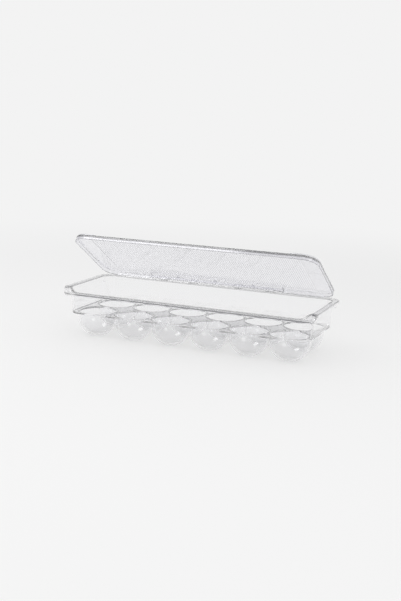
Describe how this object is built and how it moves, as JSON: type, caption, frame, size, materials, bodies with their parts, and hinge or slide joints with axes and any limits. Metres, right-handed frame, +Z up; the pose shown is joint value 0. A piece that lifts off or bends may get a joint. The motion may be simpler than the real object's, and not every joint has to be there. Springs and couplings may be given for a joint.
{
  "type": "egg keeper with flip lid",
  "caption": "Clear plastic egg keeper: two rows of round-bottomed cups under a walled tray with a stepped flange, and a flat ribbed lid that flips up on a rear snap hinge.",
  "frame": {"origin": "under the middle of the tray, on the plane of the cup feet", "axes": "+X along the length, -Y the front, +Y the hinge side, +Z up; the lid stands open at 33 degrees"},
  "size_m": [0.3164, 0.1124, 0.1242],
  "materials": {
    "clear_tray": "clear, polished moulding",
    "clear_lid": "clear, polished, with fine ribs inside"
  },
  "bodies": {
    "tray": {"tray_deck": "clear_tray", "tray_wall": "clear_tray", "tray_rim": "clear_tray", "egg_cup_front_1": "clear_tray", "egg_cup_front_2": "clear_tray", "egg_cup_front_3": "clear_tray", "egg_cup_front_4": "clear_tray", "egg_cup_front_5": "clear_tray", "egg_cup_front_6": "clear_tray", "egg_cup_rear_1": "clear_tray", "egg_cup_rear_2": "clear_tray", "egg_cup_rear_3": "clear_tray", "egg_cup_rear_4": "clear_tray", "egg_cup_rear_5": "clear_tray", "egg_cup_rear_6": "clear_tray", "flange_web_left_front": "clear_tray", "flange_web_left_rear": "clear_tray", "flange_web_right_front": "clear_tray", "flange_web_right_rear": "clear_tray", "hinge_rail": "clear_tray", "hinge_clip_1": "clear_tray", "hinge_clip_2": "clear_tray", "hinge_clip_3": "clear_tray", "hinge_clip_4": "clear_tray"},
    "lid": {"lid_cover": "clear_lid", "stacking_ridge_left_front": "clear_lid", "stacking_ridge_left_rear": "clear_lid", "stacking_ridge_right_front": "clear_lid", "stacking_ridge_right_rear": "clear_lid", "lid_hinge_bar": "clear_lid", "lid_ribs": "clear_lid"}
  },
  "joints": [
    {"name": "lid_hinge", "type": "hinge", "parent": "tray", "child": "lid", "pos_m": [0, 0.05, 0.0632], "axis": [-1, 0, 0], "range_deg": [-33, 72]}
  ]
}
